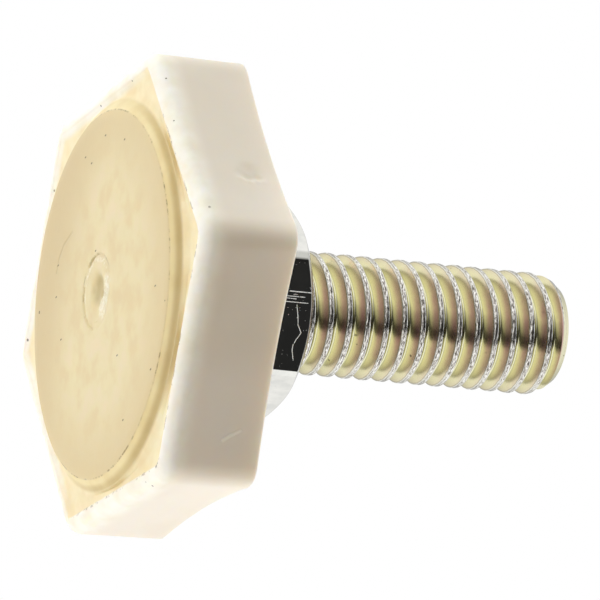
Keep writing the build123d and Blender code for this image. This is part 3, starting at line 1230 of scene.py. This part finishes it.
# Light bands along both edges of the crest, round the sides only: painted highlights.
crest_edge_highlights = times(tree, fade(tree, along, 0.345, 0.360), fade(tree, along, 0.665, 0.650))
crest_edge_highlights = times(tree, times(tree, crest_edge_highlights, turned_away), 0.75)
colour = blend(tree, calculate(tree, "SUBTRACT", crest_edge_highlights, crest, clamp=True), colour, tone("F6F4E6"))
colour = blend(tree, fade(tree, where["Height"], TIP_FOOT, TIP_FOOT + 0.12), colour, tone("EFEBCB"))
pits = use_group(tree, specks, Place=place, Scale=2.2, Share=0.10, Size=0.2)["Mask"]
colour = blend(tree, times(tree, pits, 0.7), colour, tone("3C382A"))
feed(tree, shader.inputs["Base Color"], colour)
print("bolt crests", len(tree.nodes), "nodes")

# %% Gloss of the bolt
shader.inputs["Metallic"].default_value = 1.0
shader.inputs["Specular Tint"].default_value = (0.5, 0.5, 0.5, 1)
gloss = calculate(tree, "MULTIPLY_ADD", cloudy, 0.10, 0.20)
valley = calculate(tree, "ADD", fade(tree, along, 0.05, 0.01), fade(tree, along, 0.64, 0.68), clamp=True)
smoother = calculate(tree, "MULTIPLY_ADD", crest, -0.12, times(tree, valley, -0.15))
feed(tree, shader.inputs["Roughness"], calculate(tree, "ADD", gloss, smoother))
height = times(tree, crest, crumbs)
height = calculate(tree, "MULTIPLY_ADD", fine, 0.03, height)
height = calculate(tree, "MULTIPLY_ADD", pits, -0.2, height)
bump(tree, shader, height, 0.014)
bolt.data.materials.append(bolt_finish)
print("bolt finish", len(tree.nodes), "nodes")

# %% [markdown]
# ## Finish of the nut
# Bright zinc is a mirror until a spanner scratches it. A scratch shows light on a dark reflection because
# it is rough: it scatters the whole tent instead of mirroring one place in it. So a mark changes the
# roughness most, and the colour only a little.

# %% Spanner marks
nut_finish, tree, shader, place = new_finish("bright_zinc")
where = use_group(tree, around, Place=place)
cloudy = noise(tree, place, 0.7, detail=4)
facing = shift(tree, place, turn_by=(0, 0, -(CARD_AZIMUTH + 90)))
NUT_FLAT = -NUT_ACROSS / 2
SPANNER_MARKS = [
    ([(-1.385, 9.93), (-1.385, 11.39)], 0.03),
    ([(-1.08, 9.63), (-1.08, 10.96)], 0.022),
    ([(-0.73, 9.40), (-0.73, 11.19)], 0.022),
    ([(-0.95, 9.8), (-0.93, 10.4)], 0.02),
    ([(-0.57, 10.48), (0.09, 10.62), (0.64, 10.68), (1.11, 10.93), (1.57, 10.64), (1.89, 10.48),
      (2.2, 10.45), (2.8, 10.58)], 0.026),
]


def on_flat(points):
    """Points of the nut's nearest flat, from how far along it and how high they are."""
    return [(along_flat, NUT_FLAT, level) for along_flat, level in points]


marks = any_of(tree, [strokes(tree, facing, on_flat(points), width) for points, width in SPANNER_MARKS])
marks = times(tree, marks, fade(tree, noise(tree, place, 9.0, detail=4), 0.36, 0.56))
flecks = use_group(tree, specks, Place=place, Scale=7.0, Share=0.40, Size=0.18)["Mask"]
flecks = times(tree, flecks, fade(tree, cloudy, 0.38, 0.52))
long_place = shift(tree, place, scale=(1, 1, 0.16))
streaks = use_group(tree, specks, Place=long_place, Scale=2.4, Share=0.10, Size=0.12)["Mask"]
worn = any_of(tree, [marks, flecks, streaks])
print("nut marks", len(tree.nodes), "nodes")

# %% Bright zinc
zinc_tone = ramp(tree, cloudy, [(0.35, tone("E9E9E4")), (0.65, tone("F9F8F2"))])
# A grey stripe painted down the nearest flat beside its corner: a painted reflection.
corner_grey_reflection = strokes(tree, facing, on_flat([(-3.62, NUT_BOTTOM), (-3.62, NUT_TOP)]), 0.55)
zinc_tone = blend(tree, times(tree, corner_grey_reflection, 0.8), zinc_tone, tone("BDBDB6"))
feed(tree, shader.inputs["Base Color"], blend(
    tree, times(tree, worn, 0.5), zinc_tone, tone("F2F3F2")))
shader.inputs["Metallic"].default_value = 1.0
shader.inputs["Specular Tint"].default_value = (0.6, 0.6, 0.6, 1)
gloss = calculate(tree, "MULTIPLY_ADD", cloudy, 0.06, 0.03)
feed(tree, shader.inputs["Roughness"], calculate(tree, "MULTIPLY_ADD", worn, 0.32, gloss))
height = calculate(tree, "MULTIPLY_ADD", worn, -1.0, times(tree, cloudy, 0.3))
bump(tree, shader, height, 0.03)
nut.data.materials.append(nut_finish)
print("nut finish", len(tree.nodes), "nodes")

# %% [markdown]
# ## Riding on the frame
# Each piece rides on the body that carries it, so that the nut climbs the bolt while the rest stays. It
# is shown in place of its plain CAD node, which is hidden. The pieces have to stay inside the CAD box.

# %% Bodies, nodes and slots
for piece, body, node, slot in (
    (pad, "foot", "foot_pad", "pad_plastic"),
    (bolt, "foot", "bolt", "yellow_zinc"),
    (nut, "nut", "lock_nut", "bright_zinc"),
):
    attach(piece, body)
    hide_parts(node)
